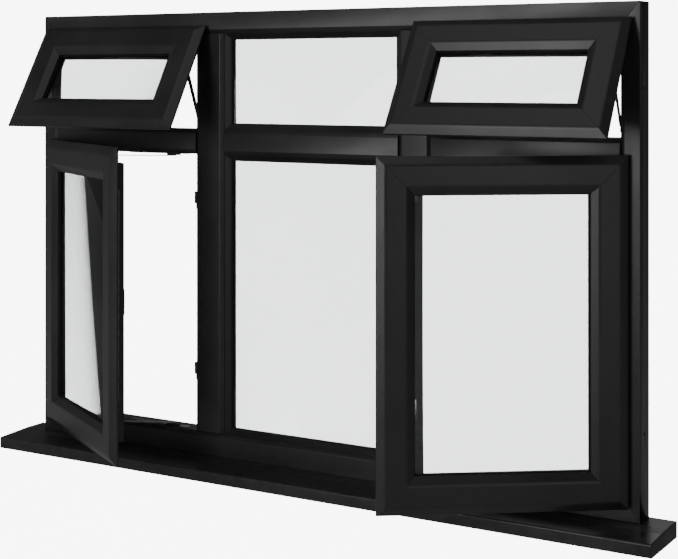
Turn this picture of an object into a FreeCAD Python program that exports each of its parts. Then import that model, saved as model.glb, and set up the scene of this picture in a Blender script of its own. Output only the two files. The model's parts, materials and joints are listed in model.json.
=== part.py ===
import FreeCAD, Part
import os
import re
import Sketcher

# A six-light window: two fixed lights in the middle, a side-hung casement below and a
# top-hung vent above at each side, on a projecting cill. Millimetres, +Z up.
# X runs across the width, Y runs indoors from the front face of the outer frame, and
# the origin is on the cill's underside, in line with that face and half way along.

os.makedirs("parts", exist_ok=True)
doc = FreeCAD.newDocument("window")

sizes = {
    "overallWidth": 1800, "overallHeight": 1200, "frameDepth": 64,
    "jambFace": 48, "headFace": 58, "bottomFace": 62, "mullionFace": 92, "transomFace": 68,
    "sideLight": 492, "transomCentre": 849,
    "edgeBevel": 11, "edgeBevelDepth": 6,
    "cillHorn": 64, "cillNose": 114, "cillBack": 38, "cillFall": 6, "noseHeight": 31,
    "noseWall": 9, "cillWall": 7, "capThick": 3,
    "fixingRadius": 4, "fixingEnd": 200,
    "lapJamb": 32, "lapMullion": 58, "lapVentMullion": 42, "lapRail": 30, "lapHead": 28,
    "sashProud": 22, "flangeThick": 19, "sashBodyDepth": 41, "sashGap": 14, "sashFace": 88,
    "outerBevel": 20, "outerBevelDepth": 13, "innerBevel": 19, "innerBevelDepth": 12,
    "sashLip": 8, "rebateCover": 10, "glassEdgeGap": 3, "glazingGasket": 2, "sashGasketShow": 2,
    "paneThick": 4, "cavityThick": 16, "spacerWidth": 7, "beadChamfer": 6,
    "sealInset": 8, "sealWidth": 6, "sealThick": 2.7,
    "fixedLip": 14, "fixedLipSet": 7, "fixedLipLand": 3, "fixedGlassSet": 24,
    "fixedGasketGap": 2, "fixedGasketShow": 3, "fixedBeadSet": 0.5,
    "openCasementLeft": 31, "openCasementRight": 35, "openVent": 30,
    "stayWidth": 16, "trackThick": 2, "shoeThick": 3.7, "armThick": 2, "armWidth": 13,
    "playGap": 0.3, "studRadius": 3, "studPlay": 0.08, "studShort": 0.2, "trackLine": 23,
    "casementReach": 195, "casementPlateBack": 95, "casementArm": 267,
    "casementTrackStart": 285, "casementTrackGap": 38,
    "ventReach": 101, "ventPlateBack": 52, "ventArm": 156, "ventTrackStart": 150, "ventTrackGap": 7,
    "pivotLine": 21, "shoeLength": 40, "shoeSide": 2, "plateEnd": 18,
    "rodThick": 3, "rodWidth": 14, "rodLine": 17, "camRadius": 4, "camLength": 6.5,
    "rodTravel": 18, "rodMargin": 70, "camInset": 60,
    "keepThick": 1.5, "keepLip": 7, "keepLength": 46, "keepWidth": 24, "keepStand": 7,
    "keepLead": 5, "camPlay": 0.5,
    "escutcheonWidth": 26, "escutcheonLength": 70, "escutcheonThick": 2,
    "hubRadius": 9, "hubThick": 2.4, "socketSize": 7, "socketDepth": 1.8, "spindleLine": 14,
    "over": 1, "embed": 0.5, "knifeEdge": 0.001,
}

# Places worked out from the driving sizes.
places = {
    "leftX": "-overallWidth / 2", "rightX": "overallWidth / 2",
    "footZ": "cillBack", "topZ": "footZ + overallHeight",
    "apertureLowZ": "footZ + bottomFace", "apertureTopZ": "topZ - headFace",
    "transomLowZ": "footZ + transomCentre - transomFace / 2",
    "transomTopZ": "transomLowZ + transomFace",
    "sideInnerX": "leftX + jambFace", "mullionOuterX": "sideInnerX + sideLight",
    "mullionInnerX": "mullionOuterX + mullionFace",
    "flangeBackY": "flangeThick - sashProud", "sashBackY": "flangeBackY + sashBodyDepth",
    "sashGlassY": "innerBevelDepth + sashLip + glazingGasket - sashProud",
    "innerPaneY": "sashGlassY + paneThick + cavityThick",
    "sashBeadY": "innerPaneY + paneThick",
    "fixedGlassY": "fixedGlassSet + glazingGasket",
    "fixedInnerPaneY": "fixedGlassY + paneThick + cavityThick",
    "fixedBeadY": "fixedInnerPaneY + paneThick",
    "shoeLow": "trackThick + playGap", "armLow": "shoeLow + shoeThick + playGap",
    "plateLow": "armLow + armThick + playGap",
    "studHole": "studRadius + studPlay",
    "camStart": "playGap + rodThick",
    "casementTrackEnd": "lapJamb + sideLight - casementTrackGap",
    "ventTrackEnd": "lapHead + apertureTopZ - transomTopZ - ventTrackGap",
}

sheet = doc.addObject("Spreadsheet::Sheet", "sizes")
for row, (alias, value) in enumerate(sizes.items(), start=1):
    sheet.set(f"A{row}", alias)
    sheet.set(f"B{row}", str(value))
    sheet.setAlias(f"B{row}", alias)
doc.recompute()


def bound(text):
    """A formula in the names above, as an expression on the sheet's cells."""
    def swap(word):
        name = word.group(0)
        if name in places:
            return "(" + bound(places[name]) + ")"
        return "sizes." + name if name in sizes else name
    return re.sub(r"[A-Za-z]\w*", swap, str(text))


def less(text, origin):
    return f"({text}) - ({origin})"


NOWHERE = ("0", "0", "0")


def block(name, x, y, z, origin=NOWHERE):
    """A box between two planes on each axis, in a frame whose origin is given."""
    box = doc.addObject("Part::Box", name)
    for side, base, (low, high), zero in zip(("Length", "Width", "Height"), "xyz", (x, y, z), origin):
        box.setExpression(side, bound(less(high, low)))
        box.setExpression("Placement.Base." + base, bound(less(low, zero)))
    return box


def taper(name, rim, back, y, origin=NOWHERE):
    """A frustum along Y from the rectangle rim to the rectangle back, each (x0, x1, z0, z1)."""
    wedge = doc.addObject("Part::Wedge", name)
    ends = {"Xmin": rim[0], "Xmax": rim[1], "Zmin": rim[2], "Zmax": rim[3],
            "X2min": back[0], "X2max": back[1], "Z2min": back[2], "Z2max": back[3]}
    for end, value in ends.items():
        wedge.setExpression(end, bound(less(value, origin[0] if end[0] == "X" else origin[2])))
    wedge.setExpression("Ymin", bound(less(y[0], origin[1])))
    wedge.setExpression("Ymax", bound(less(y[1], origin[1])))
    return wedge


TURNS = {"x": FreeCAD.Rotation(FreeCAD.Vector(0, 1, 0), 90),
         "y": FreeCAD.Rotation(FreeCAD.Vector(1, 0, 0), -90),
         "z": FreeCAD.Rotation()}


def rod(name, radius, axis, start, length, at, origin=NOWHERE):
    """A cylinder along an axis, from start, with its other two coordinates in at."""
    cylinder = doc.addObject("Part::Cylinder", name)
    cylinder.setExpression("Radius", bound(radius))
    cylinder.setExpression("Height", bound(length))
    cylinder.Placement = FreeCAD.Placement(FreeCAD.Vector(), TURNS[axis])
    spots = dict(zip([a for a in "xyz" if a != axis], at))
    spots[axis] = start
    for base, zero in zip("xyz", origin):
        cylinder.setExpression("Placement.Base." + base, bound(less(spots[base], zero)))
    return cylinder


def fuse(name, shapes):
    joined = doc.addObject("Part::MultiFuse", name)
    joined.Shapes = shapes
    joined.Refine = True
    return joined


def cut(name, base, tools):
    for number, tool in enumerate(tools):
        removed = doc.addObject("Part::Cut", f"{name}_{number}")
        removed.Base, removed.Tool = base, tool
        removed.Refine = True
        base = removed
    return base


def common(name, base, tool):
    kept = doc.addObject("Part::Common", name)
    kept.Base, kept.Tool = base, tool
    kept.Refine = True
    return kept


subParts = []


def subPart(label, pieces, origin=NOWHERE, axis=None, angle=None):
    """One named sub-part: its solids, placed at an origin and turned about an axis there."""
    group = doc.addObject("Part::Compound", label)
    group.Links = pieces
    group.Label = label
    if axis:
        group.Placement = FreeCAD.Placement(FreeCAD.Vector(), FreeCAD.Rotation(axis, 1))
        group.setExpression("Placement.Rotation.Angle", bound(angle))
    for base, value in zip("xyz", origin):
        group.setExpression("Placement.Base." + base, bound(value))
    subParts.append(group)
    return group


def inset(rect, amount):
    return (f"{rect[0]} + {amount}", f"{rect[1]} - ({amount})",
            f"{rect[2]} + {amount}", f"{rect[3]} - ({amount})")


def panel(name, rect, y, origin=NOWHERE):
    return block(name, rect[:2], y, rect[2:], origin)


# --- Outer frame: four mitred bars, each cut from one ring ---

outline = ("leftX", "rightX", "footZ", "topZ")
aperture = ("sideInnerX", "-(sideInnerX)", "apertureLowZ", "apertureTopZ")
ring = cut("frameRing", panel("frameBlank", outline, ("0", "frameDepth")), [
    panel("frameHole", aperture, ("-over", "frameDepth + over")),
    taper("frameEase", inset(aperture, "-edgeBevel"), aperture, ("0", "edgeBevelDepth")),
])


def frameBar(label, long, short, face, base, turn, holes=()):
    """A bar as the part of the ring inside a trapezium prism of the bar's own face width."""
    wedge = doc.addObject("Part::Wedge", label + "Prism")
    ends = {"Xmin": long[0], "Xmax": long[1], "X2min": short[0], "X2max": short[1],
            "Zmin": "-frameDepth - over", "Zmax": "over", "Z2min": "-frameDepth - over", "Z2max": "over",
            "Ymin": "0", "Ymax": face}
    for end, value in ends.items():
        wedge.setExpression(end, bound(value))
    wedge.Placement = FreeCAD.Placement(FreeCAD.Vector(), turn)
    for axis, value in zip("xyz", base):
        wedge.setExpression("Placement.Base." + axis, bound(value))
    subPart(label, [cut(label + "Drilled", common(label + "Bar", ring, wedge), list(holes))])


def fixingHoles(side, face):
    low = "footZ + fixingEnd"
    high = "topZ - fixingEnd"
    return [rod(f"{side}Fixing{n}", "fixingRadius", "x", face, "jambFace + 2 * over", ("frameDepth / 2", z))
            for n, z in enumerate((low, high))]


UP = FreeCAD.Rotation(FreeCAD.Vector(1, 0, 0), 90)
DOWN = FreeCAD.Rotation(FreeCAD.Vector(0, 1, 0), 180).multiply(FreeCAD.Rotation(FreeCAD.Vector(1, 0, 0), 90))
TO_RIGHT = FreeCAD.Rotation(FreeCAD.Vector(0, 1, 0), 90).multiply(UP)
TO_LEFT = FreeCAD.Rotation(FreeCAD.Vector(0, 1, 0), -90).multiply(UP)
halfWidth = ("-overallWidth / 2", "overallWidth / 2")
halfClear = ("jambFace - overallWidth / 2", "overallWidth / 2 - jambFace")
frameBar("bottom_rail", halfWidth, halfClear, "bottomFace", ("0", "0", "footZ"), UP)
frameBar("head_rail", halfWidth, halfClear, "headFace", ("0", "0", "topZ"), DOWN)
frameBar("jamb_left", ("-overallHeight", "0"), ("headFace - overallHeight", "-bottomFace"),
         "jambFace", ("leftX", "0", "footZ"), TO_RIGHT, fixingHoles("left", "leftX - over"))
frameBar("jamb_right", ("0", "overallHeight"), ("bottomFace", "overallHeight - headFace"),
         "jambFace", ("rightX", "0", "footZ"), TO_LEFT, fixingHoles("right", "rightX - jambFace - over"))


# --- Mullions and transoms, welded into the ring, with eased edges on both sides ---

def mullion(label, low, high):
    """An upright bar between bottom and head, eased along both long edges."""
    bar = panel(label + "Blank", (low, high, "apertureLowZ", "apertureTopZ"), ("0", "frameDepth"))
    eases = []
    for number, edge in enumerate((low, high)):
        rect = (f"{edge} - edgeBevel", f"{edge} + edgeBevel", "apertureLowZ - over", "apertureTopZ + over")
        thin = (edge, edge + " + knifeEdge", "apertureLowZ - over", "apertureTopZ + over")
        eases.append(taper(f"{label}Ease{number}", rect, thin, ("0", "edgeBevelDepth")))
    subPart(label, [cut(label + "Bar", bar, eases)])


def transom(name, left, right):
    """A cross bar between two uprights, eased along both long edges."""
    bar = panel(name + "Blank", (left, right, "transomLowZ", "transomTopZ"), ("0", "frameDepth"))
    eases = []
    for number, edge in enumerate(("transomLowZ", "transomTopZ")):
        rect = (left + " - over", right + " + over", f"{edge} - edgeBevel", f"{edge} + edgeBevel")
        thin = (left + " - over", right + " + over", edge, edge + " + knifeEdge")
        eases.append(taper(f"{name}Ease{number}", rect, thin, ("0", "edgeBevelDepth")))
    return cut(name + "Bar", bar, eases)


mullion("mullion_left", "mullionOuterX", "mullionInnerX")
mullion("mullion_right", "-(mullionInnerX)", "-(mullionOuterX)")
subPart("transoms", [
    transom("transomLeft", "sideInnerX", "mullionOuterX"),
    transom("transomMiddle", "mullionInnerX", "-(mullionInnerX)"),
    transom("transomRight", "-(mullionOuterX)", "-(sideInnerX)"),
])


# --- Cill: one extruded section with a closed cap on each end ---

CILL_SECTION = [("frameDepth", "cillBack"), ("0", "cillBack"), ("-cillNose", "cillBack - cillFall"),
                ("-cillNose", "cillBack - cillFall - noseHeight"),
                ("noseWall - cillNose", "cillBack - cillFall - noseHeight"),
                ("noseWall - cillNose", "cillBack - cillFall - noseWall"),
                ("-cillWall", "cillBack - cillWall"), ("-cillWall", "0"), ("frameDepth", "0")]


def section(label, points, start, length):
    """A closed section in the YZ plane, padded along X from start."""
    body = doc.addObject("PartDesign::Body", label + "Body")
    plane = next(f for f in body.Origin.OriginFeatures if f.Role == "YZ_Plane")
    sketch = body.newObject("Sketcher::SketchObject", label + "Sketch")
    sketch.AttachmentSupport = (plane, "")
    sketch.MapMode = "FlatFace"
    count = len(points)
    rough = [FreeCAD.Vector(10 * i, (i % 3) * 7 + i, 0) for i in range(count)]
    for i in range(count):
        sketch.addGeometry(Part.LineSegment(rough[i], rough[(i + 1) % count]))
    for i in range(count):
        sketch.addConstraint(Sketcher.Constraint("Coincident", i, 2, (i + 1) % count, 1))
    for i, (across, up) in enumerate(points):
        for kind, value in (("DistanceX", across), ("DistanceY", up)):
            named = sketch.addConstraint(Sketcher.Constraint(kind, -1, 1, i, 1, 1.0))
            sketch.setExpression(f"Constraints[{named}]", bound(value))
    doc.recompute()
    pad = body.newObject("PartDesign::Pad", label + "Pad")
    pad.Profile = sketch
    pad.setExpression("Length", bound(length))
    body.Tip = pad
    sketch.setExpression("AttachmentOffset.Base.z", bound(start))
    return body


subPart("cill", [section("cill", CILL_SECTION, "leftX - cillHorn", "overallWidth + 2 * cillHorn")])
CAP_SECTION = [CILL_SECTION[i] for i in (0, 1, 2, 3)] + [("-cillWall", "0"), ("frameDepth", "0")]
subPart("cill_end_caps", [
    section("capLeft", CAP_SECTION, "leftX - cillHorn - capThick", "capThick"),
    section("capRight", CAP_SECTION, "rightX + cillHorn", "capThick"),
])


# --- Glazing shared by fixed lights and sashes ---

def sheetRing(name, outer, inner, y, origin=NOWHERE):
    """A flat ring: outer and inner rectangles between two planes."""
    return cut(name, panel(name + "Blank", outer, y, origin),
               [panel(name + "Hole", inner, (f"{y[0]} - over", f"{y[1]} + over"), origin)])


def sealedUnit(name, rect, y, origin=NOWHERE):
    """Two panes and the spacer bar that holds them apart."""
    inner = f"{y} + paneThick + cavityThick"
    panes = [panel(name + "OuterPane", rect, (y, f"{y} + paneThick"), origin),
             panel(name + "InnerPane", rect, (inner, f"{inner} + paneThick"), origin)]
    spacer = sheetRing(name + "Spacer", rect, inset(rect, "spacerWidth"),
                       (f"{y} + paneThick", inner), origin)
    return panes, spacer


def innerBead(name, sight, y, back, origin=NOWHERE):
    """A glazing bead on the room side, its inner edge sloped towards the glass."""
    bead = sheetRing(name, inset(sight, "-rebateCover"), sight, (y, back), origin)
    slope = taper(name + "Slope", sight, inset(sight, "-beadChamfer"),
                  (f"{back} - beadChamfer", back), origin)
    return cut(name + "Sloped", bead, [slope])


# --- Fixed lights ---

FIXED = {"upper": ("mullionInnerX", "-(mullionInnerX)", "transomTopZ", "apertureTopZ"),
         "lower": ("mullionInnerX", "-(mullionInnerX)", "apertureLowZ", "transomLowZ")}
fixedPanes, fixedSpacers, fixedLips, fixedGaskets, fixedBeads = [], [], [], [], []
for light, opening in FIXED.items():
    sight = inset(opening, "fixedLip")
    lip = sheetRing(light + "Lip", opening, sight, ("fixedLipSet", "fixedGlassSet"))
    slope = taper(light + "LipSlope", inset(opening, "-over"), sight,
                  ("fixedLipSet - over", "fixedGlassSet - fixedLipLand"))
    fixedLips.append(cut(light + "LipSloped", lip, [slope]))
    fixedGaskets.append(sheetRing(light + "Gasket", inset(opening, "fixedGasketGap"),
                                  inset(sight, "fixedGasketShow"), ("fixedGlassSet", "fixedGlassY")))
    panes, spacer = sealedUnit(light + "Unit", inset(opening, "glassEdgeGap"), "fixedGlassY")
    fixedPanes += panes
    fixedSpacers.append(spacer)
    fixedBeads.append(innerBead(light + "Bead", inset(opening, "rebateCover"),
                                "fixedBeadY", "frameDepth - fixedBeadSet"))
subPart("fixed_panes", fixedPanes)
subPart("fixed_spacers", fixedSpacers)
subPart("fixed_outer_lips", fixedLips)
subPart("fixed_gaskets", fixedGaskets)
subPart("fixed_inner_beads", fixedBeads)


# --- Opening sashes, each modelled closed about its own hinge line ---

def sideRects(side, lap):
    """Flange and body edges in X of a sash in a side light, its flange lapping the mullion."""
    a, b, c, d = ("sideInnerX - lapJamb", f"mullionOuterX + {lap}",
                  "sideInnerX + sashGap", "mullionOuterX - sashGap")
    if side == "right":
        a, b, c, d = (f"-({edge})" for edge in (b, a, d, c))
    return a, b, c, d


SASHES = {}
for side in ("left", "right"):
    a, b, c, d = sideRects(side, "lapMullion")
    SASHES["casement_" + side] = {
        "flange": (a, b, "apertureLowZ - lapRail", "transomLowZ + lapRail"),
        "body": (c, d, "apertureLowZ + sashGap", "transomLowZ - sashGap"),
        "origin": (a if side == "left" else b, "-sashProud", "footZ"),
        "axis": FreeCAD.Vector(0, 0, 1), "open": "openCasement" + side.title(),
        "sign": -1 if side == "left" else 1, "kind": "casement", "side": side,
    }
    a, b, c, d = sideRects(side, "lapVentMullion")
    SASHES["vent_" + side] = {
        "flange": (a, b, "transomTopZ - lapRail", "apertureTopZ + lapHead"),
        "body": (c, d, "transomTopZ + sashGap", "apertureTopZ - sashGap"),
        "origin": ("0", "-sashProud", "apertureTopZ + lapHead"),
        "axis": FreeCAD.Vector(1, 0, 0), "open": "openVent",
        "sign": -1, "kind": "vent", "side": side,
    }


def sashFrame(name, sash):
    """Welded sash: a proud flange with bevelled edges, a body behind it and a glass rebate."""
    at = sash["origin"]
    sight = inset(sash["flange"], "sashFace")
    front = "-sashProud"
    solid = fuse(name + "Solid", [
        taper(name + "Bevel", inset(sash["flange"], "outerBevel"), sash["flange"],
              (front, f"{front} + outerBevelDepth"), at),
        panel(name + "Flange", sash["flange"], (f"{front} + outerBevelDepth", "flangeBackY"), at),
        panel(name + "Body", sash["body"], ("flangeBackY - over", "sashBackY"), at),
    ])
    return cut(name + "Cut", solid, [
        panel(name + "Sight", sight, (f"{front} - over", "sashBackY + over"), at),
        taper(name + "Reveal", inset(sight, "-innerBevel"), sight, (front, f"{front} + innerBevelDepth"), at),
        panel(name + "Rebate", inset(sight, "-rebateCover"),
              ("sashGlassY - glazingGasket", "sashBackY + over"), at),
    ])


def alongStay(sash, u, v, w, end):
    """Turns stay coordinates into X, Y, Z: u from the hinge line towards the free edge,
    v indoors, w from the frame's rebate towards the sash, at one end of the hinge."""
    at, inward = sash["origin"], 1 if end == 0 else -1
    if sash["kind"] == "casement":
        rails = ("apertureLowZ", "transomLowZ")
        return between(at[0], -sash["sign"], u), v, between(rails[end], inward, w)
    sides = ("sideInnerX", "mullionOuterX")
    if sash["side"] == "right":
        sides = ("-(mullionOuterX)", "-(sideInnerX)")
    return between(sides[end], inward, w), v, between(at[2], -1, u)


def between(zero, sign, pair):
    """Two offsets from a face, in the order low, high whichever way they run."""
    values = [f"({zero}) + ({sign}) * ({value})" for value in pair]
    return tuple(values if sign > 0 else values[::-1])


def stayPivot(sash, kind):
    """Where the arm's two pivots are at rest, from the hinge line: (pu, pv) on the sash,
    (su, sv) on the shoe, and the arm's lean from the track, all as formulas."""
    reach, arm = kind + "Reach", kind + "Arm"
    turn = sash["open"] + " * 1deg"
    line = "(pivotLine + sashProud)"
    pu = f"({reach} * cos({turn}) + {line} * sin({turn}))"
    pv = f"({line} * cos({turn}) - {reach} * sin({turn}))"
    lean = f"asin((trackLine + sashProud - {pv}) / {arm})"
    su = f"({pu} + {arm} * cos({lean}))"
    return pu, pv, su, lean


def stays(name, sash):
    """Tracks on the frame, shoes, arms and sash plates at both ends of the hinge line."""
    kind, at = sash["kind"], sash["origin"]
    reach, arm = kind + "Reach", kind + "Arm"
    half, halfArm = "stayWidth / 2", "armWidth / 2"
    pu, pv, su, lean = stayPivot(sash, kind)
    along = 0 if kind == "casement" else 2
    shoeAt = list(at)
    shoeAt[along] = between(at[along], -1 if kind == "vent" or sash["side"] == "right" else 1, (su, su))[0]
    shoeAt[1] = "trackLine"
    tracks, shoes, arms, plates = [], [], [], []
    pinAxis = "z" if kind == "casement" else "x"
    for end in (0, 1):
        tag = f"{name}{end}"
        tracks.append(block(tag + "Track", *alongStay(
            sash, (kind + "TrackStart", kind + "TrackEnd"),
            (f"trackLine - {half}", f"trackLine + {half}"), ("0", "trackThick"), end)))
        local = dict(sash, origin=shoeAt)
        x, y, z = alongStay(local, ("-shoeLength / 2", "shoeLength / 2"),
                            (f"trackLine - {half} + shoeSide", f"trackLine + {half} - shoeSide"),
                            ("shoeLow", "shoeLow + shoeThick"), end)
        base = block(tag + "Shoe", x, y, z, shoeAt)
        stud = pin(tag + "ShoeStud", local, pinAxis, "0", "trackLine", "studRadius",
                   ("shoeLow + shoeThick - embed", "armLow + armThick"), end, shoeAt)
        shoes.append(fuse(tag + "ShoeSolid", [base, stud]))
        x, y, z = alongStay(local, ("-" + arm, "0"),
                            (f"trackLine - {halfArm}", f"trackLine + {halfArm}"),
                            ("armLow", "armLow + armThick"), end)
        rounds = [pin(tag + f"ArmEnd{n}", local, pinAxis, spot, "trackLine", halfArm,
                      ("armLow", "armLow + armThick"), end, shoeAt)
                  for n, spot in enumerate(("0", "-" + arm))]
        holes = [pin(tag + f"ArmHole{n}", local, pinAxis, spot, "trackLine", "studHole",
                     ("armLow - over", "armLow + armThick + over"), end, shoeAt)
                 for n, spot in enumerate(("0", "-" + arm))]
        bar = fuse(tag + "ArmBar", [block(tag + "ArmBlank", x, y, z, shoeAt)] + rounds)
        arms.append(cut(tag + "Arm", bar, holes))
        x, y, z = alongStay(sash, (f"{reach} - {kind}PlateBack", f"{reach} + plateEnd"),
                            (f"pivotLine - {half}", f"pivotLine + {half}"), ("plateLow", "sashGap"), end)
        plate = block(tag + "Plate", x, y, z, at)
        stud = pin(tag + "PlateStud", sash, pinAxis, reach, "pivotLine", "studRadius",
                   ("armLow - studShort", "plateLow + embed"), end, at)
        plates.append(fuse(tag + "PlateSolid", [plate, stud]))
    armTurn = f"{-sash['sign']} * ({lean})"
    return tracks, (shoes, shoeAt), (arms, shoeAt, armTurn), plates


def pin(name, sash, axis, u, v, radius, w, end, origin):
    """A stud or hole on the pivot axis, at u along the stay and v indoors."""
    x, y, z = alongStay(sash, (u, u), (v, v), w, end)
    if axis == "z":
        return rod(name, radius, "z", z[0], less(z[1], z[0]), (x[0], y[0]), origin)
    return rod(name, radius, "x", x[0], less(x[1], x[0]), (y[0], z[0]), origin)


def alongEdge(sash, s, v, w):
    """Lock coordinates to X, Y, Z: s along the free edge from its middle, v indoors,
    w from the sash body towards the frame."""
    body = sash["body"]
    if sash["kind"] == "casement":
        right = sash["side"] == "left"
        x = between(body[1] if right else body[0], 1 if right else -1, w)
        return x, v, between(f"(({body[2]}) + ({body[3]})) / 2", 1, s)
    return between(f"(({body[0]}) + ({body[1]})) / 2", 1, s), v, between(body[2], -1, w)


def lockRod(name, sash):
    """A flat rod on the sash's free edge with a round cam near each end."""
    at = sash["origin"]
    low, high = (2, 3) if sash["kind"] == "casement" else (0, 1)
    span = f"(({sash['body'][high]}) - ({sash['body'][low]}))"
    half = f"({span} / 2 - rodMargin)"
    bar = block(name + "Rod", *alongEdge(sash, ("-" + half, half),
                ("rodLine - rodWidth / 2", "rodLine + rodWidth / 2"), ("playGap", "camStart")), at)
    cams = []
    for number, spot in enumerate((f"-({half} - camInset)", f"({half} - camInset)")):
        x, y, z = alongEdge(sash, (spot, spot), ("rodLine", "rodLine"),
                            ("camStart - embed", "camStart + camLength"))
        if sash["kind"] == "casement":
            cams.append(rod(f"{name}Cam{number}", "camRadius", "x", x[0], less(x[1], x[0]), (y[0], z[0]), at))
        else:
            cams.append(rod(f"{name}Cam{number}", "camRadius", "z", z[0], less(z[1], z[0]), (x[0], y[0]), at))
    keeps = []
    for number, spot in enumerate((f"-({half} - camInset)", f"({half} - camInset)")):
        mid = f"({spot} + rodTravel)"
        ends = (f"{mid} - keepLength / 2", f"{mid} + keepLength / 2")
        plate = block(f"{name}Keep{number}Plate", *alongEdge(
            sash, ends, ("rodLine - keepWidth / 2", "rodLine + keepWidth / 2"),
            ("sashGap - keepThick", "sashGap")))
        lip = block(f"{name}Keep{number}Lip", *alongEdge(
            sash, (f"{mid} - camRadius - keepLead", f"{mid} + keepLength / 2"),
            ("rodLine - camRadius - camPlay - keepLip", "rodLine - camRadius - camPlay"),
            ("keepStand", "sashGap - keepThick / 2")))
        keeps.append(fuse(f"{name}Keep{number}", [plate, lip]))
    return fuse(name + "RodSolid", [bar] + cams), keeps


def spindleSpot(sash):
    """The lock spindle in X and Z: middle of the free edge, inside the body by the spindle line."""
    body = sash["body"]
    if sash["kind"] == "casement":
        x = f"({body[1]}) - spindleLine" if sash["side"] == "left" else f"({body[0]}) + spindleLine"
        return x, f"(({body[2]}) + ({body[3]})) / 2"
    return f"(({body[0]}) + ({body[1]})) / 2", f"({body[2]}) + spindleLine"


def spindle(name, sash):
    """An escutcheon on the sash's room side, and the lock's hub in it with a square socket."""
    at = sash["origin"]
    x, z = spindleSpot(sash)
    half = ("escutcheonWidth / 2", "escutcheonLength / 2")
    if sash["kind"] == "vent":
        half = half[::-1]
    plate = block(name + "Escutcheon", (f"{x} - {half[0]}", f"{x} + {half[0]}"),
                  ("sashBackY", "sashBackY + escutcheonThick"), (f"{z} - {half[1]}", f"{z} + {half[1]}"), at)
    hole = rod(name + "HubHole", "hubRadius + studPlay", "y", "sashBackY - over",
               "escutcheonThick + 2 * over", (x, z), at)
    hub = rod(name + "HubDisc", "hubRadius", "y", "sashBackY + playGap", "hubThick", (x, z), at)
    top = "sashBackY + playGap + hubThick"
    socket = block(name + "Socket", (f"{x} - socketSize / 2", f"{x} + socketSize / 2"),
                   (f"{top} - socketDepth", f"{top} + over"),
                   (f"{z} - socketSize / 2", f"{z} + socketSize / 2"), at)
    return cut(name + "EscutcheonBored", plate, [hole]), cut(name + "Hub", hub, [socket])


allTracks, allKeeps = [], []
for name, sash in SASHES.items():
    place = {"origin": sash["origin"], "axis": sash["axis"], "angle": f"{sash['sign']} * {sash['open']}"}
    at = sash["origin"]
    sight = inset(sash["flange"], "sashFace")
    glass = inset(sight, "glassEdgeGap - rebateCover")
    panes, spacer = sealedUnit(name + "Unit", glass, "sashGlassY", at)
    gasket = sheetRing(name + "Gasket", glass, inset(sight, "sashGasketShow"),
                       ("sashGlassY - glazingGasket", "sashGlassY"), at)
    sealEdge = inset(sash["flange"], "sealInset")
    seal = sheetRing(name + "Seal", sealEdge, inset(sealEdge, "sealWidth"),
                     ("flangeBackY", "flangeBackY + sealThick"), at)
    tracks, shoes, arms, plates = stays(name, sash)
    lock, keeps = lockRod(name, sash)
    escutcheon, hub = spindle(name, sash)
    allTracks += tracks
    allKeeps += keeps
    subPart(name + "_sash", [sashFrame(name, sash)], **place)
    subPart(name + "_panes", panes, **place)
    subPart(name + "_spacer", [spacer], **place)
    subPart(name + "_seals", [gasket, seal], **place)
    subPart(name + "_bead", [innerBead(name + "Bead", sight, "sashBeadY", "sashBackY", at)], **place)
    subPart(name + "_stay_plates", plates, **place)
    subPart(name + "_lock_rod", [lock], **place)
    subPart(name + "_escutcheon", [escutcheon], **place)
    subPart(name + "_spindle_hub", [hub], **place)
    subPart(name + "_stay_arms", arms[0], arms[1], sash["axis"], arms[2])
    subPart(name + "_stay_shoes", shoes[0], shoes[1])
subPart("stay_tracks", allTracks)
subPart("lock_keeps", allKeeps)


# --- Check and write ---

doc.recompute()
faults = [o.Name for o in doc.Objects if "Invalid" in o.State or "Error" in o.State]
faults += [o.Label for o in subParts if o.Shape.isNull() or not o.Shape.isValid() or not o.Shape.Solids]
if faults:
    raise SystemExit(f"these did not build: {faults}")
for piece in subParts:
    piece.Shape.exportStep(f"parts/{piece.Label}.step")
print(len(subParts), "sub-parts,", sum(len(p.Shape.Solids) for p in subParts), "solids")
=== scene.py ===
import json
import math

import bmesh
import bpy
from mathutils import Matrix, Vector


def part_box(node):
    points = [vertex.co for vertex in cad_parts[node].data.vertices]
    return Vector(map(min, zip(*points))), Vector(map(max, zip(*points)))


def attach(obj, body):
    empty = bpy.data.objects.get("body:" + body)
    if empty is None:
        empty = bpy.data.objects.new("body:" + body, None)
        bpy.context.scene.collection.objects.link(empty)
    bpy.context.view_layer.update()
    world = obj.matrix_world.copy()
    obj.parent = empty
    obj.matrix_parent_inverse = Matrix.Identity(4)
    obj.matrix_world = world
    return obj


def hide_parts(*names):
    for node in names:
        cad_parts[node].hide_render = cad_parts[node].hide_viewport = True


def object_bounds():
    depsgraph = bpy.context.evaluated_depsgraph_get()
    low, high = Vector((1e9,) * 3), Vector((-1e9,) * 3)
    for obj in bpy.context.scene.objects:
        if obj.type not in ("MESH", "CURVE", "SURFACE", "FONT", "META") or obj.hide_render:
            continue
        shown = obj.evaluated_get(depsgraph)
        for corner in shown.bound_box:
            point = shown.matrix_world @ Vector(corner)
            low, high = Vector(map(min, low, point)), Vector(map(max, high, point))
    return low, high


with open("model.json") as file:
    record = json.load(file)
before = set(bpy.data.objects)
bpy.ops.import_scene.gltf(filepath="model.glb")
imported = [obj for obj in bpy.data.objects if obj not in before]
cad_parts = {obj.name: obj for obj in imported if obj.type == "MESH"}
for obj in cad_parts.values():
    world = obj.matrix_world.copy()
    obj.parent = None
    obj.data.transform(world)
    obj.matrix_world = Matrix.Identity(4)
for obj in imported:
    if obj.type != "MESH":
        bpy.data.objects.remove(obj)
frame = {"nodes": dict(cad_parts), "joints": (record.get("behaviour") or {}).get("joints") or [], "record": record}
cadBox = [list(corner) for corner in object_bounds()]
nodes = frame["nodes"]
joints = {joint["name"]: joint for joint in frame["joints"]}
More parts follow.
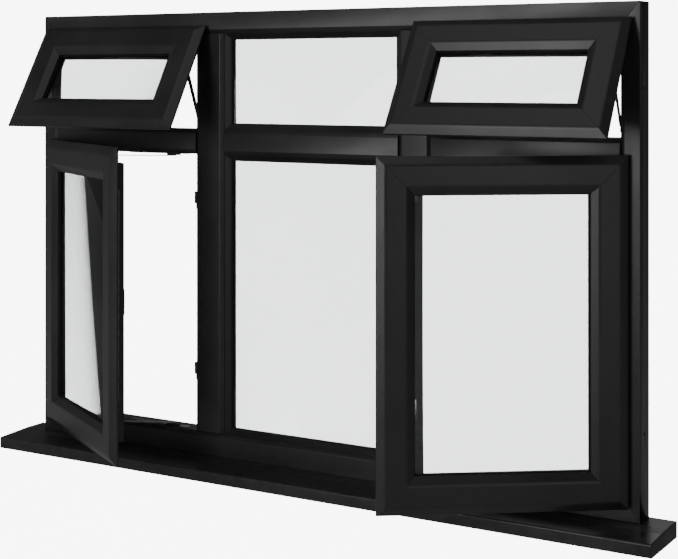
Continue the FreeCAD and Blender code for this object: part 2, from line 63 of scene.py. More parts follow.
sashNames = ["casement_left", "vent_left", "casement_right", "vent_right"]
mm = 0.001
print("frame loaded:", len(nodes), "nodes")


# Shared shader groups: each puts out values that change over the surface.

def newGroup(name, inputs, outputs):
    group = bpy.data.node_groups.new(name, "ShaderNodeTree")
    for socketName, start in inputs:
        socket = group.interface.new_socket(socketName, in_out="INPUT", socket_type="NodeSocketFloat")
        socket.default_value = start
    for socketName, kind in outputs:
        group.interface.new_socket(socketName, in_out="OUTPUT", socket_type=kind)
    return group, group.nodes.new("NodeGroupInput"), group.nodes.new("NodeGroupOutput")


def mathNode(tree, operation, first, second, clamp=False):
    node = tree.nodes.new("ShaderNodeMath")
    node.operation = operation
    node.use_clamp = clamp
    for socket, value in zip(node.inputs, (first, second)):
        if isinstance(value, (int, float)):
            socket.default_value = value
        else:
            tree.links.new(value, socket)
    return node.outputs[0]


def noiseNode(tree, vector, scale, detail, roughness=0.55):
    node = tree.nodes.new("ShaderNodeTexNoise")
    node.inputs["Detail"].default_value = detail
    node.inputs["Roughness"].default_value = roughness
    tree.links.new(vector, node.inputs["Vector"])
    if isinstance(scale, (int, float)):
        node.inputs["Scale"].default_value = scale
    else:
        tree.links.new(scale, node.inputs["Scale"])
    return node.outputs["Fac"]


def spread(tree, value, low, high, toLow=0.0, toHigh=1.0):
    node = tree.nodes.new("ShaderNodeMapRange")
    node.inputs["From Min"].default_value = low
    node.inputs["From Max"].default_value = high
    node.inputs["To Min"].default_value = toLow
    node.inputs["To Max"].default_value = toHigh
    tree.links.new(value, node.inputs["Value"])
    return node.outputs["Result"]


def makeGrain():
    # fine moulded or foiled texture: Tone is a slow patchiness, Height a fine pebble with faint streaks
    group, inside, outside = newGroup("surfaceGrain", [("Fine", 900.0), ("Slow", 6.0), ("Streak", 0.3)],
                                      [("Tone", "NodeSocketFloat"), ("Height", "NodeSocketFloat")])
    place = group.nodes.new("ShaderNodeTexCoord").outputs["Object"]
    stretch = group.nodes.new("ShaderNodeMapping")
    stretch.inputs["Scale"].default_value = (1.0, 1.0, 0.12)
    group.links.new(place, stretch.inputs["Vector"])
    fine = noiseNode(group, place, inside.outputs["Fine"], 2.0)
    slow = noiseNode(group, place, inside.outputs["Slow"], 3.0)
    streak = noiseNode(group, stretch.outputs["Vector"], 260.0, 3.0)
    weighted = mathNode(group, "MULTIPLY", streak, inside.outputs["Streak"])
    group.links.new(mathNode(group, "ADD", fine, weighted), outside.inputs["Height"])
    group.links.new(slow, outside.inputs["Tone"])
    return group


def makeWear():
    # Edge marks convex edges that hands and cloths have polished; Dust gathers on ledges that face up
    group, inside, outside = newGroup("edgesAndDust", [("Edge Width", 0.06), ("Dust Amount", 0.3)],
                                      [("Edge", "NodeSocketFloat"), ("Dust", "NodeSocketFloat")])
    geometry = group.nodes.new("ShaderNodeNewGeometry")
    place = group.nodes.new("ShaderNodeTexCoord").outputs["Object"]
    worn = spread(group, geometry.outputs["Pointiness"], 0.51, 0.62)
    patch = spread(group, noiseNode(group, place, 38.0, 4.0), 0.42, 0.68)
    rubbed = mathNode(group, "MULTIPLY", worn, patch)
    edge = mathNode(group, "MULTIPLY", rubbed, inside.outputs["Edge Width"])
    group.links.new(mathNode(group, "MULTIPLY", edge, 10.0, clamp=True), outside.inputs["Edge"])
    split = group.nodes.new("ShaderNodeSeparateXYZ")
    group.links.new(geometry.outputs["Normal"], split.inputs["Vector"])
    upward = spread(group, split.outputs["Z"], 0.55, 1.0)
    speck = spread(group, noiseNode(group, place, 120.0, 5.0, 0.7), 0.45, 0.75)
    settled = mathNode(group, "MULTIPLY", upward, speck)
    dust = mathNode(group, "MULTIPLY", settled, inside.outputs["Dust Amount"])
    group.links.new(dust, outside.inputs["Dust"])
    return group


def makeBrush():
    # brushed or drawn metal: long scratches along one axis
    group, inside, outside = newGroup("brushedLines", [("Across", 1400.0)],
                                      [("Tone", "NodeSocketFloat"), ("Height", "NodeSocketFloat")])
    place = group.nodes.new("ShaderNodeTexCoord").outputs["Object"]
    stretch = group.nodes.new("ShaderNodeMapping")
    stretch.inputs["Scale"].default_value = (0.03, 1.0, 0.03)
    group.links.new(place, stretch.inputs["Vector"])
    lines = noiseNode(group, stretch.outputs["Vector"], inside.outputs["Across"], 2.0)
    blotch = noiseNode(group, place, 45.0, 4.0)
    group.links.new(lines, outside.inputs["Height"])
    group.links.new(blotch, outside.inputs["Tone"])
    return group


groups = {"grain": makeGrain(), "wear": makeWear(), "brush": makeBrush()}


def placeGroup(tree, name, **values):
    node = tree.nodes.new("ShaderNodeGroup")
    node.node_tree = groups[name]
    for socketName, value in values.items():
        node.inputs[socketName.replace("_", " ")].default_value = value
    return node


def blendColour(tree, factor, first, second):
    node = tree.nodes.new("ShaderNodeMix")
    node.data_type = "RGBA"
    tree.links.new(factor, node.inputs["Factor"])
    for socket, value in ((node.inputs[6], first), (node.inputs[7], second)):
        if isinstance(value, tuple):
            socket.default_value = (*value, 1.0)
        else:
            tree.links.new(value, socket)
    return node.outputs[2]


def bumpInto(tree, shader, height, strength, distance):
    bump = tree.nodes.new("ShaderNodeBump")
    bump.inputs["Strength"].default_value = strength
    bump.inputs["Distance"].default_value = distance
    tree.links.new(height, bump.inputs["Height"])
    tree.links.new(bump.outputs["Normal"], shader.inputs["Normal"])


def plasticMaterial(name, look):
    material = bpy.data.materials.new(name)
    material.use_nodes = True
    tree = material.node_tree
    shader = tree.nodes["Principled BSDF"]
    shader.inputs["Specular IOR Level"].default_value = look["specular"]
    grain = placeGroup(tree, "grain", Fine=look["fine"], Slow=look["slow"], Streak=look["streak"])
    wear = placeGroup(tree, "wear", Edge_Width=look["edge"], Dust_Amount=look["dust"])
    patchy = blendColour(tree, spread(tree, grain.outputs["Tone"], 0.35, 0.65), look["dark"], look["light"])
    worn = blendColour(tree, wear.outputs["Edge"], patchy, look["worn"])
    dusty = blendColour(tree, wear.outputs["Dust"], worn, (0.30, 0.29, 0.27))
    tree.links.new(dusty, shader.inputs["Base Color"])
    smoothness = spread(tree, grain.outputs["Tone"], 0.3, 0.7, look["gloss"][0], look["gloss"][1])
    dulled = mathNode(tree, "MULTIPLY", wear.outputs["Dust"], 0.3)
    rough = mathNode(tree, "ADD", smoothness, dulled, clamp=True)
    tree.links.new(rough, shader.inputs["Roughness"])
    bumpInto(tree, shader, grain.outputs["Height"], look["bump"], look["depth"])
    return material


def steelMaterial(name, look):
    material = bpy.data.materials.new(name)
    material.use_nodes = True
    tree = material.node_tree
    shader = tree.nodes["Principled BSDF"]
    shader.inputs["Metallic"].default_value = 1.0
    brush = placeGroup(tree, "brush", Across=look["across"])
    tone = spread(tree, brush.outputs["Tone"], 0.35, 0.65)
    tree.links.new(blendColour(tree, tone, look["dark"], look["light"]), shader.inputs["Base Color"])
    rough = spread(tree, brush.outputs["Height"], 0.3, 0.7, look["gloss"][0], look["gloss"][1])
    tree.links.new(rough, shader.inputs["Roughness"])
    bumpInto(tree, shader, brush.outputs["Height"], look["bump"], 0.0001)
    return material


def glassMaterial(name, look):
    material = bpy.data.materials.new(name)
    material.use_nodes = True
    tree = material.node_tree
    shader = tree.nodes["Principled BSDF"]
    shader.inputs["Transmission Weight"].default_value = 1.0
    shader.inputs["IOR"].default_value = look["ior"]
    place = tree.nodes.new("ShaderNodeTexCoord").outputs["Object"]
    smear = noiseNode(tree, place, look["smearScale"], 4.0)
    tree.links.new(blendColour(tree, smear, look["tint"], look["clear"]), shader.inputs["Base Color"])
    tree.links.new(spread(tree, smear, 0.55, 0.8, 0.0, look["smear"]), shader.inputs["Roughness"])
    return material


materials = {
    "profile": plasticMaterial("satinBlackProfile", {
        "dark": (0.0195, 0.0198, 0.0208), "light": (0.0270, 0.0273, 0.0285), "worn": (0.055, 0.055, 0.057),
        "gloss": (0.30, 0.40), "specular": 0.5, "fine": 1100.0, "slow": 5.0, "streak": 0.35,
        "edge": 0.05, "dust": 0.10, "bump": 0.10, "depth": 0.0002}),
    "endCap": plasticMaterial("mouldedBlackCap", {
        "dark": (0.016, 0.016, 0.017), "light": (0.023, 0.023, 0.024), "worn": (0.06, 0.06, 0.06),
        "gloss": (0.42, 0.55), "specular": 0.45, "fine": 700.0, "slow": 11.0, "streak": 0.0,
        "edge": 0.07, "dust": 0.18, "bump": 0.22, "depth": 0.0003}),
    "gasket": plasticMaterial("blackRubberSeal", {
        "dark": (0.010, 0.010, 0.010), "light": (0.018, 0.018, 0.018), "worn": (0.04, 0.04, 0.04),
        "gloss": (0.62, 0.80), "specular": 0.3, "fine": 1600.0, "slow": 20.0, "streak": 0.1,
        "edge": 0.03, "dust": 0.25, "bump": 0.25, "depth": 0.0002}),
    "spacer": plasticMaterial("blackSpacerBar", {
        "dark": (0.013, 0.013, 0.014), "light": (0.022, 0.022, 0.023), "worn": (0.03, 0.03, 0.03),
        "gloss": (0.5, 0.62), "specular": 0.35, "fine": 420.0, "slow": 16.0, "streak": 0.6,
        "edge": 0.0, "dust": 0.0, "bump": 0.35, "depth": 0.0003}),
    "escutcheon": plasticMaterial("powderCoatedPlate", {
        "dark": (0.018, 0.018, 0.019), "light": (0.026, 0.026, 0.027), "worn": (0.12, 0.12, 0.12),
        "gloss": (0.34, 0.46), "specular": 0.5, "fine": 1900.0, "slow": 14.0, "streak": 0.0,
        "edge": 0.12, "dust": 0.1, "bump": 0.30, "depth": 0.0002}),
    "shoe": plasticMaterial("nylonSlider", {
        "dark": (0.045, 0.045, 0.048), "light": (0.065, 0.065, 0.068), "worn": (0.12, 0.12, 0.12),
        "gloss": (0.45, 0.6), "specular": 0.4, "fine": 1300.0, "slow": 30.0, "streak": 0.2,
        "edge": 0.1, "dust": 0.2, "bump": 0.2, "depth": 0.0002}),
    "steel": steelMaterial("brushedStainless", {
        "dark": (0.25, 0.25, 0.255), "light": (0.42, 0.42, 0.425), "gloss": (0.26, 0.44),
        "across": 1500.0, "bump": 0.15}),
    "glass": glassMaterial("clearFloatGlass", {
        "tint": (0.60, 0.612, 0.61), "clear": (0.62, 0.63, 0.628), "ior": 1.5,
        "smear": 0.035, "smearScale": 3.5}),
}
recordSlot = {"profile": "black_profile", "endCap": "end_cap", "gasket": "gasket", "spacer": "spacer",
              "escutcheon": "escutcheon", "shoe": "shoe_plastic", "steel": "steel", "glass": "glass"}
print("materials made:", len(materials))


# Geometry helpers. Pieces are built in the frame's own axes, in metres.

def finishShading(mesh, sharpAngle=40.0):
    work = bmesh.new()
    work.from_mesh(mesh)
    bmesh.ops.remove_doubles(work, verts=work.verts, dist=1e-6)
    bmesh.ops.recalc_face_normals(work, faces=work.faces)
    limit = math.radians(sharpAngle)
    for edge in work.edges:
        edge.smooth = len(edge.link_faces) == 2 and edge.calc_face_angle(0.0) < limit
    for face in work.faces:
        face.smooth = True
    work.to_mesh(mesh)
    work.free()


def addPiece(name, verts, faces, body, finish, stands=(), place=None, sharpAngle=40.0):
    mesh = bpy.data.meshes.new(name)
    mesh.from_pydata([tuple(place @ Vector(v)) if place else tuple(v) for v in verts], [], faces)
    finishShading(mesh, sharpAngle)
    mesh.materials.append(materials[finish])
    piece = bpy.data.objects.new(name, mesh)
    bpy.context.scene.collection.objects.link(piece)
    piece.modifiers.new("flats", "WEIGHTED_NORMAL").keep_sharp = True
    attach(piece, body)
    if stands:
        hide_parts(*stands)


def joinParts(parts):
    # several (verts, faces) as one
    verts, faces = [], []
    for partVerts, partFaces in parts:
        start = len(verts)
        verts += [Vector(v) for v in partVerts]
        faces += [[start + i for i in face] for face in partFaces]
    return verts, faces


def rounded(points, steps=5):
    # a closed outline of (u, v, radius) corners with each corner turned into an arc
    outline = []
    count = len(points)
    for i, (u, v, radius) in enumerate(points):
        corner = Vector((u, v))
        before = Vector(points[i - 1][:2]) - corner
        after = Vector(points[(i + 1) % count][:2]) - corner
        turn = before.angle(after)
        if radius <= 0 or abs(math.pi - turn) < 0.01:
            outline.append((u, v))
            continue
        reach = min(radius / math.tan(turn / 2), before.length * 0.49, after.length * 0.49)
        radius = reach * math.tan(turn / 2)
        halfway = (before.normalized() + after.normalized()).normalized()
        centre = corner + halfway * (radius / math.sin(turn / 2))
        start = corner + before.normalized() * reach - centre
        sweep = start.angle_signed(corner + after.normalized() * reach - centre)
        for step in range(steps + 1):
            angle = -sweep * step / steps
            outline.append((centre.x + start.x * math.cos(angle) - start.y * math.sin(angle),
                            centre.y + start.x * math.sin(angle) + start.y * math.cos(angle)))
    return outline


def shrunk(outline, amount):
    # the outline moved inwards by about amount, for the bottom of a mitre line
    count = len(outline)
    area = sum(outline[i - 1][0] * outline[i][1] - outline[i][0] * outline[i - 1][1] for i in range(count))
    side = 1 if area > 0 else -1
    moved = []
    for i, point in enumerate(outline):
        along = Vector(outline[(i + 1) % count]) - Vector(outline[i - 1])
        normal = Vector((-along.y, along.x)).normalized() * (amount * side)
        moved.append((point[0] + normal.x, point[1] + normal.y))
    return moved


def loopFaces(loops, size):
    # side faces of a closed tube whose sections are loops of size points
    faces = []
    for i in range(loops):
        a, b = i * size, ((i + 1) % loops) * size
        faces += [(a + k, a + (k + 1) % size, b + (k + 1) % size, b + k) for k in range(size)]
    return faces


def mitredRing(rect, outline, groove=0.35 * mm, width=0.5 * mm):
    # one section carried round a rectangle, with a fine groove at each mitre; outline points are (inset, y)
    pinched = shrunk(outline, groove)
    corners = [(0, 2, 1, 1, (0, -1), (1, 0)), (1, 2, -1, 1, (1, 0), (0, 1)),
               (1, 3, -1, -1, (0, 1), (-1, 0)), (0, 3, 1, -1, (-1, 0), (0, -1))]
    loops = []
    for xi, zi, sx, sz, arriving, leaving in corners:
        stations = ((outline, arriving, -width), (pinched, arriving, 0), (outline, leaving, width))
        for section, travel, step in stations:
            x, z = rect[xi] + travel[0] * step, rect[zi] + travel[1] * step
            loops.append([Vector((x + sx * u, y, z + sz * u)) for u, y in section])
    return [v for loop in loops for v in loop], loopFaces(len(loops), len(outline))


def bodyRing(outer, inner, y0, y1, radius, steps=4):
    # a flat-sided ring between two rectangles whose four long edges are rounded
    turns = [math.radians(90 * k / steps) for k in range(steps + 1)]
    late = [radius - radius * math.sin(turn) for turn in turns]
    soon = [radius - radius * math.cos(turn) for turn in turns]
    section = [(outer, inset, y0 + rise) for inset, rise in zip(late, soon)]
    section += [(outer, inset, y1 - rise) for inset, rise in zip(soon, late)]
    section += [(inner, -inset, y1 - rise) for inset, rise in zip(late, soon)]
    section += [(inner, -inset, y0 + rise) for inset, rise in zip(soon, late)]
    loops = []
    for xi, zi, sx, sz in ((0, 2, 1, 1), (1, 2, -1, 1), (1, 3, -1, -1), (0, 3, 1, -1)):
        loops.append([Vector((rect[xi] + sx * inset, y, rect[zi] + sz * inset))
                      for rect, inset, y in section])
    return [v for loop in loops for v in loop], loopFaces(len(loops), len(section))


def extruded(outline, start, end, across, up, along):
    # a closed outline of (across, up) points pushed from start to end along an axis, with flat ends
    a, b, c = Vector(across), Vector(up), Vector(along)
    size = len(outline)
    verts = [a * u + b * v + c * start for u, v in outline] + [a * u + b * v + c * end for u, v in outline]
    faces = [(k, (k + 1) % size, size + (k + 1) % size, size + k) for k in range(size)]
    return verts, faces + [list(range(size)), list(range(size, 2 * size))]


def turned(rings, centre, axis, segments=40, outlineAt=None, side=None, hollow=False):
    # rings of (radius, height) turned about an axis; outlineAt may shape a ring by its angle
    axis = Vector(axis).normalized()
    side = Vector(side) if side else axis.orthogonal().normalized()
    other = axis.cross(side)
    verts = []
    for number, (radius, height) in enumerate(rings):
        for k in range(segments):
            angle = 2 * math.pi * k / segments
            reach = outlineAt(number, radius, angle) if outlineAt else radius
            spoke = side * math.cos(angle) + other * math.sin(angle)
            verts.append(Vector(centre) + axis * height + spoke * reach)
    faces = loopFaces(len(rings), segments)
    if hollow:  # the last ring joins the first
        return verts, faces
    last = (len(rings) - 1) * segments
    return verts, faces[:last] + [list(range(segments)), [last + k for k in range(segments)]]


screwShape = {"slotWidth": 0.16, "slotReach": 0.62, "recess": 0.5 * mm, "sunk": 0.8 * mm,
              "shoulder": (0.93, 0.55), "crown": 0.74}  # shares of the radius and of the dome


def crossHead(centre, axis, radius, dome=0.55 * mm):
    # a domed screw head with a cross recess, standing its dome above the surface
    s = screwShape
    half, reach = s["slotWidth"] * radius, s["slotReach"] * radius

    def outlineAt(number, ringRadius, angle):
        if number < 4:
            return ringRadius
        c, d = abs(math.cos(angle)), abs(math.sin(angle))
        big, small = max(c, d), min(c, d)
        edge = min(reach / big, half / max(small, 1e-6))
        return max(edge, half * 1.4) * ringRadius / radius

    shoulder = (radius * s["shoulder"][0], dome * s["shoulder"][1])
    rings = [(radius, -s["sunk"]), (radius, 0.0), shoulder, (radius * s["crown"], dome),
             (radius, dome), (radius * 0.9, dome - s["recess"]), (radius * 0.1, dome - s["recess"] * 1.3)]
    return turned(rings, centre, axis, 48, outlineAt)


def restMatrix(sash):
    # closed to the open rest: the swing joint's lower limit is the closed sash
    joint = joints[sash + "_swing"]
    spot = Vector(joint["pos_m"])
    turn = Matrix.Rotation(math.radians(-joint["range_deg"][0]), 4, Vector(joint["axis"]))
    return Matrix.Translation(spot) @ turn @ Matrix.Translation(-spot)


def closedPoints(node, place):
    back = place.inverted()
    return [back @ v.co for v in nodes[node].data.vertices]


def closedBox(points):
    return [(min(p[i] for p in points), max(p[i] for p in points)) for i in range(3)]


def rectOf(points):
    box = closedBox(points)
    return (box[0][0], box[0][1], box[2][0], box[2][1])


def insetRect(rect, amount):
    return (rect[0] + amount, rect[1] - amount, rect[2] + amount, rect[3] - amount)


def islands(points, faces):
    # the separate solids of a mesh, as lists of points
    owner = {}
    keys = [tuple(round(c * 20000) for c in p) for p in points]

    def root(key):
        while owner.setdefault(key, key) != key:
            key = owner[key]
        return key

    for face in faces:
        for i in face[1:]:
            owner[root(keys[i])] = root(keys[face[0]])
    found = {}
    for key, point in zip(keys, points):
        found.setdefault(root(key), []).append(point)
    return sorted(found.values(), key=lambda solid: tuple(round(solid[0][i], 4) for i in range(3)))


def solidsOf(node, place=Matrix.Identity(4)):
    faces = [tuple(f.vertices) for f in nodes[node].data.polygons]
    return [closedBox(solid) for solid in islands(closedPoints(node, place), faces)]


# CAD nodes that keep their shape: rounded arrises and their real finish.

softEdge = {"black_profile": 1.1 * mm, "end_cap": 1.0 * mm, "glass": 0.35 * mm, "spacer": 0.5 * mm,
            "gasket": 0.7 * mm, "steel": 0.3 * mm, "shoe_plastic": 0.5 * mm, "escutcheon": 0.5 * mm}
finishOf = {slotName: finish for finish, slotName in recordSlot.items()}
for part in frame["record"]["subparts"]:
    cad, slotName = nodes[part["node"]], part["material_slot"]
    cad.data.materials.clear()
    cad.data.materials.append(materials[finishOf[slotName]])
    cad.modifiers.new("weld", "WELD").merge_threshold = 0.02 * mm
    flat = cad.modifiers.new("planar", "DECIMATE")
    flat.decimate_type = "DISSOLVE"
    flat.angle_limit = math.radians(0.5)
    edge = cad.modifiers.new("arris", "BEVEL")
    edge.width = softEdge[slotName]
    edge.segments = 3
    edge.limit_method = "ANGLE"
    edge.angle_limit = math.radians(20)
    edge.harden_normals = True
    for face in cad.data.polygons:
        face.use_smooth = True
print("CAD nodes finished")


# Opening sashes: welded frames with rolled edges, beads, escutcheons and screws.

sashShape = {"outerBevel": 20 * mm, "outerDepth": 13 * mm, "flange": 19 * mm, "face": 88 * mm,
             "innerBevel": 19 * mm, "innerDepth": 12 * mm, "lip": 20 * mm, "cover": 10 * mm,
             "frontRoll": 9 * mm, "edgeRoll": 1.8 * mm, "sightRoll": 2.2 * mm, "bodyRoll": 1.5 * mm}
beadShape = {"width": 10 * mm, "chamfer": 6 * mm, "roll": 2.4 * mm}
escutcheonShape = {"squareness": 7.0, "roll": 0.9 * mm, "bore": 9.2 * mm,
                   "screwOut": 21.5 * mm, "screw": 3 * mm}


def sashPiece(sash, place):
    s = sashShape
    points = closedPoints(sash + "_sash", place)
    box = closedBox(points)
    rect, front, back = rectOf(points), box[1][0], box[1][1]
    body = rectOf([p for p in points if p.y > back - 1 * mm])
    flange = rounded([
        (0, front + s["outerDepth"], s["edgeRoll"]), (s["outerBevel"], front, s["frontRoll"] * 2),
        (s["face"] - s["innerBevel"], front, s["frontRoll"] * 2),
        (s["face"], front + s["innerDepth"], s["sightRoll"]), (s["face"], front + s["lip"], 0.5 * mm),
        (s["face"] - s["cover"], front + s["lip"], 0), (s["face"] - s["cover"], front + s["flange"], 0),
        (0, front + s["flange"], 1 * mm)], 6)
    core = bodyRing(body, insetRect(rect, s["face"] - s["cover"]), front + s["flange"], back, s["bodyRoll"])
    addPiece(sash + "_frame", *joinParts([mitredRing(rect, flange), core]), sash, "profile",
             [sash + "_sash"], place)


def beadOutline(y0, y1):
    b = beadShape
    return rounded([(0, y0, 0.3 * mm), (b["width"], y0, 0.8 * mm), (b["width"], y1 - b["chamfer"], b["roll"]),
                    (b["width"] - b["chamfer"], y1, b["roll"]), (0, y1, 0.6 * mm)], 5)


def beadPiece(sash, place):
    points = closedPoints(sash + "_bead", place)
    box = closedBox(points)
    addPiece(sash + "_glazing_bead", *mitredRing(rectOf(points), beadOutline(*box[1])), sash, "profile",
             [sash + "_bead"], place)


def escutcheonPieces(sash, place):
    e = escutcheonShape
    plate = closedBox(closedPoints(sash + "_escutcheon", place))
    spindle = place.inverted() @ Vector(joints[sash + "_spindle_turn"]["pos_m"])
    halfX, halfZ = (plate[0][1] - plate[0][0]) / 2, (plate[2][1] - plate[2][0]) / 2
    thick = plate[1][1] - plate[1][0]
    spot = Vector((spindle.x, plate[1][0], spindle.z))

    def outlineAt(number, inset, angle):
        if number > 3:
            return inset
        a, b = halfX - inset, halfZ - inset
        power = e["squareness"]
        return (abs(math.cos(angle) / a) ** power + abs(math.sin(angle) / b) ** power) ** (-1 / power)

    rings = [(0.3 * mm, 0), (0, 0.3 * mm), (0, thick * 0.55), (e["roll"], thick),
             (e["bore"] + 0.4 * mm, thick), (e["bore"], thick - 0.4 * mm), (e["bore"], 0)]
    shape = turned(rings, spot, (0, 1, 0), 96, outlineAt, (1, 0, 0), True)
    addPiece(sash + "_escutcheon_plate", *shape, sash, "escutcheon", [sash + "_escutcheon"], place, 30)
    heads = []
    for side in (-1, 1):
        seat = spot + Vector((0, thick, 0))
        seat[2 if halfZ > halfX else 0] += side * e["screwOut"]
        heads.append(crossHead(seat, (0, 1, 0), e["screw"], 0.3 * mm))
    addPiece(sash + "_escutcheon_screws", *joinParts(heads), sash, "steel", (), place, 30)


screwSizes = {"plate": (2.6 * mm, 0.15 * mm), "rod": (2.8 * mm, 0.5 * mm), "keep": (2.6 * mm, 0.4 * mm),
              "track": (2.4 * mm, 0.15 * mm)}


def screwsOn(boxes, face, sign, along, shares, size, skin=None):
    # heads on one face of each solid, spaced along its length
    radius, dome = screwSizes[size]
    heads = []
    for box in boxes:
        for share in shares:
            spot = Vector([(low + high) / 2 for low, high in box])
            spot[face] = box[face][1] if sign > 0 else box[face][0]
            if skin is not None:
                spot[face] = (box[face][0] + skin) if sign > 0 else (box[face][1] - skin)
            spot[along] = box[along][0] + (box[along][1] - box[along][0]) * share
            axis = [0, 0, 0]
            axis[face] = sign
            heads.append(crossHead(spot, axis, radius, dome))
    return heads


def sashScrews(sash, place):
    casement = sash.startswith("casement")
    centre = Vector([(low + high) / 2 for low, high in closedBox(closedPoints(sash + "_sash", place))])
    face, along = (2, 0) if casement else (0, 2)
    heads = []
    for box in solidsOf(sash + "_stay_plates", place):
        outward = 1 if (box[face][0] + box[face][1]) / 2 > centre[face] else -1
        skin = min(5.4 * mm, box[face][1] - box[face][0])
        inner = [list(pair) for pair in box]  # the plate without its pivot stud
        nearest, furthest = box[face]
        inner[face] = [nearest, nearest + skin] if outward > 0 else [furthest - skin, furthest]
        heads += screwsOn([inner], face, outward, along, (0.12, 0.36, 0.6), "plate")
    addPiece(sash + "_stay_screws", *joinParts(heads), sash, "steel", (), place, 30)
    face, along = (0, 2) if casement else (2, 0)
    box = solidsOf(sash + "_lock_rod", place)[0]
    outward = 1 if (box[face][0] + box[face][1]) / 2 > centre[face] else -1
    heads = screwsOn([box], face, outward, along, (0.04, 0.32, 0.68, 0.96), "rod", 3 * mm)
    addPiece(sash + "_lock_screws", *joinParts(heads), sash + "_lock", "steel", (), place, 30)


for sash in sashNames:
    place = restMatrix(sash)
    sashPiece(sash, place)
    beadPiece(sash, place)
    escutcheonPieces(sash, place)
    sashScrews(sash, place)
    print("sash finished:", sash)


# Fixed lights: rolled outer lips and room-side beads, one ring above the transom and one below.

lipShape = {"width": 14 * mm, "land": 3 * mm, "roll": 5 * mm, "heel": 0.4 * mm, "brow": 0.82, "slope": 0.16}
transomZ = (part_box("transoms")[0].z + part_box("transoms")[1].z) / 2


def lightRects(node):
    points = [v.co for v in nodes[node].data.vertices]
    return [rectOf([p for p in points if (p.z > transomZ) == upper]) for upper in (False, True)]


def fixedRings(name, node, outline):
    rings = [mitredRing(rect, outline) for rect in lightRects(node)]
    addPiece(name, *joinParts(rings), "frame", "profile", [node])


low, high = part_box("fixed_outer_lips")
width, landStart = lipShape["width"], high.y - lipShape["land"]
lip = rounded([(0, low.y + lipShape["heel"], 0.3 * mm),
               (width * lipShape["brow"], landStart - width * lipShape["slope"], lipShape["roll"]),
               (width, landStart + 0.8 * mm, 0.8 * mm), (width, high.y, 0.3 * mm), (0, high.y, 0.2 * mm)], 6)
fixedRings("fixed_glazing_lips", "fixed_outer_lips", lip)
low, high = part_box("fixed_inner_beads")
fixedRings("fixed_glazing_beads", "fixed_inner_beads", beadOutline(low.y, high.y))
print("fixed lights finished")


# Cill: the rolled nose, shallow water ribs on top and a drip groove under the nose.

cillShape = {"fall": 6 * mm, "nose": 31 * mm, "noseWall": 9 * mm, "wall": 7 * mm, "noseRoll": 5 * mm,
             "ribs": (10 * mm, 22 * mm, 34 * mm), "ribWidth": 3.2 * mm, "ribDepth": 0.9 * mm,
             "ribSlope": 0.7 * mm, "drip": 2.5 * mm}


def cillPiece():
    c = cillShape
    low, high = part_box("cill")
    top, slope = high.z, c["fall"] / -low.y
    surface = [(high.y, top, 1 * mm), (0, top, 0.4 * mm)]
    for rib in c["ribs"]:
        z = top - rib * slope
        floor, far = z - c["ribDepth"], -rib - c["ribWidth"]
        surface += [(-rib, z, 0.6 * mm), (-rib - c["ribSlope"], floor, 0.4 * mm),
                    (far + c["ribSlope"], floor, 0.4 * mm), (far, z, 0.6 * mm)]
    noseTop, noseBack = top - c["fall"], low.y + c["noseWall"]
    noseFoot, dripStart = noseTop - c["nose"], low.y + c["noseWall"] * 0.4
    surface += [(low.y, noseTop, c["noseRoll"]), (low.y, noseFoot, 1.6 * mm),
                (dripStart, noseFoot, 0.5 * mm), (dripStart + c["drip"] / 2, noseFoot + c["drip"], 0.6 * mm),
                (noseBack, noseFoot, 0.8 * mm), (noseBack, noseTop - c["noseWall"], 2 * mm),
                (-c["wall"], top - c["wall"], 2 * mm), (-c["wall"], low.z, 0.6 * mm), (high.y, low.z, 0.6 * mm)]
    shape = extruded(rounded(surface, 4), low.x, high.x, (0, 1, 0), (0, 0, 1), (1, 0, 0))
    addPiece("cill_extrusion", *shape, "frame", "profile", ["cill"])


cillPiece()
print("cill finished")


# Screws in the stay tracks and the lock keeps.

def frameScrews():
    heads = []
    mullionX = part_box("mullion_left")[0].x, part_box("mullion_left")[1].x
    sideMiddle = (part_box("jamb_left")[1].x + mullionX[0]) / 2
    for box in solidsOf("stay_tracks"):
        centre = [(low + high) / 2 for low, high in box]
        if box[0][1] - box[0][0] > box[2][1] - box[2][0]:  # casement track, lying flat
            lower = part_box("bottom_rail")[1].z + 0.1 > centre[2]
            heads += screwsOn([box], 2, 1 if lower else -1, 0, (0.06, 0.94), "track")
        else:
            target = math.copysign(sideMiddle, centre[0])
            heads += screwsOn([box], 0, 1 if target > centre[0] else -1, 2, (0.08, 0.92), "track")
    for box in solidsOf("lock_keeps"):
        centre = [(low + high) / 2 for low, high in box]
        if box[2][1] - box[2][0] > box[0][1] - box[0][0]:  # casement keep on a mullion
            heads += screwsOn([box], 0, 1 if centre[0] > 0 else -1, 2, (0.1, 0.26), "keep", 1.5 * mm)
        else:
            heads += screwsOn([box], 2, 1, 0, (0.1, 0.26), "keep", 1.5 * mm)
    addPiece("frame_screws", *joinParts(heads), "frame", "steel", (), None, 30)


frameScrews()
print("screws finished")


# Floor, light and camera.

stageShape = {"size": 60.0, "lit": 0.09, "seen": 8.0,
              "pale": (0.60, 0.60, 0.60), "paler": (0.66, 0.66, 0.66)}


def directView(tree):
    # 1 where the backdrop is seen straight or through glass alone, 0 where it only lights or is mirrored
    path = tree.nodes.new("ShaderNodeLightPath")
    straight = mathNode(tree, "MAXIMUM", path.outputs["Is Camera Ray"], path.outputs["Is Transmission Ray"])
    bounces = mathNode(tree, "ADD", path.outputs["Diffuse Depth"], path.outputs["Glossy Depth"])
    return mathNode(tree, "MULTIPLY", straight, mathNode(tree, "LESS_THAN", bounces, 0.5))


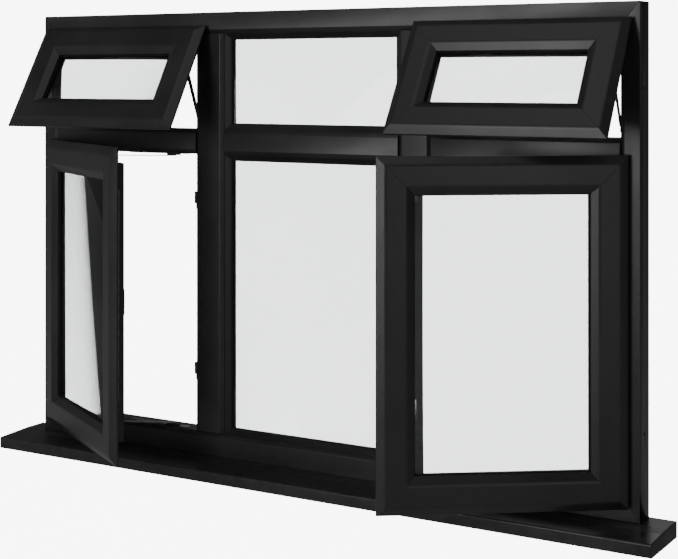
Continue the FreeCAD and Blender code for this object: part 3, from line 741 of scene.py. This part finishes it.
floorMesh = bpy.data.meshes.new("studioFloor")
half = stageShape["size"] / 2
floorCorners = [(-half, -half, 0), (half, -half, 0), (half, half, 0), (-half, half, 0)]
floorMesh.from_pydata(floorCorners, [], [(0, 1, 2, 3)])
studioFloor = bpy.data.objects.new("studioFloor", floorMesh)
studioFloor.location.z = cadBox[0][2] - 0.5 * mm
bpy.context.scene.collection.objects.link(studioFloor)
floorMaterial = bpy.data.materials.new("paleFloor")
floorMaterial.use_nodes = True
floorTree = floorMaterial.node_tree
floorShader = floorTree.nodes["Principled BSDF"]
floorPlace = floorTree.nodes.new("ShaderNodeTexCoord").outputs["Object"]
floorTone = noiseNode(floorTree, floorPlace, 1.5, 3.0)
floorTree.links.new(blendColour(floorTree, floorTone, stageShape["pale"], stageShape["paler"]),
                    floorShader.inputs["Base Color"])
floorShader.inputs["Roughness"].default_value = 0.9
floorShader.inputs["Emission Color"].default_value = (1.0, 1.0, 1.0, 1.0)
floorGlow = spread(floorTree, directView(floorTree), 0.0, 1.0, stageShape["lit"], stageShape["seen"])
floorTree.links.new(floorGlow, floorShader.inputs["Emission Strength"])
floorShader.inputs["Specular IOR Level"].default_value = 0.1
floorMesh.materials.append(floorMaterial)

lightRig = {
    "front": {"at": (-1.15, -4.8, 1.25), "aim": (0.9, 0.0, 0.8), "size": (1.3, 2.8), "power": 66.0},
    "right": {"at": (3.7, -3.0, 1.2), "aim": (0.6, 0.0, 0.6), "size": (1.4, 2.4), "power": 10.0},
    "above": {"at": (0.3, -1.8, 4.2), "aim": (0.0, 0.0, 0.6), "size": (4.0, 2.5), "power": 20.0},
    "left": {"at": (-4.2, -1.6, 1.9), "aim": (0.0, 0.0, 0.6), "size": (2.0, 2.6), "power": 10.0},
    "behind": {"at": (-1.6, 4.5, 2.6), "aim": (0.0, 0.0, 0.6), "size": (3.0, 2.0), "power": 16.0},
}
for name, setup in lightRig.items():
    lamp = bpy.data.lights.new(name + "Softbox", "AREA")
    lamp.shape = "RECTANGLE"
    lamp.size, lamp.size_y = setup["size"]
    lamp.energy = setup["power"]
    holder = bpy.data.objects.new(name + "Softbox", lamp)
    holder.location = setup["at"]
    holder.rotation_euler = (Vector(setup["aim"]) - Vector(setup["at"])).to_track_quat("-Z", "Y").to_euler()
    bpy.context.scene.collection.objects.link(holder)

worldLook = {"seen": 8.0, "lit": 0.08}
world = bpy.data.worlds.new("studio")
bpy.context.scene.world = world
world.use_nodes = True
worldTree = world.node_tree
background = worldTree.nodes["Background"]
background.inputs["Color"].default_value = (1.0, 1.0, 1.0, 1.0)
strength = spread(worldTree, directView(worldTree), 0.0, 1.0, worldLook["lit"], worldLook["seen"])
worldTree.links.new(strength, background.inputs["Strength"])

cameraSetup = {"place": (2.0237, -3.2143, 1.0618), "heading": 29.98,
               "lens": 77.51, "shift": (-0.0365, -0.2982)}
cameraData = bpy.data.cameras.new("camera")
cameraData.sensor_width = 36.0
cameraData.lens = cameraSetup["lens"]
cameraData.shift_x, cameraData.shift_y = cameraSetup["shift"]
camera = bpy.data.objects.new("camera", cameraData)
camera.location = cameraSetup["place"]
camera.rotation_euler = (math.radians(90), 0.0, math.radians(cameraSetup["heading"]))
bpy.context.scene.collection.objects.link(camera)
bpy.context.scene.camera = camera
print("studio ready")
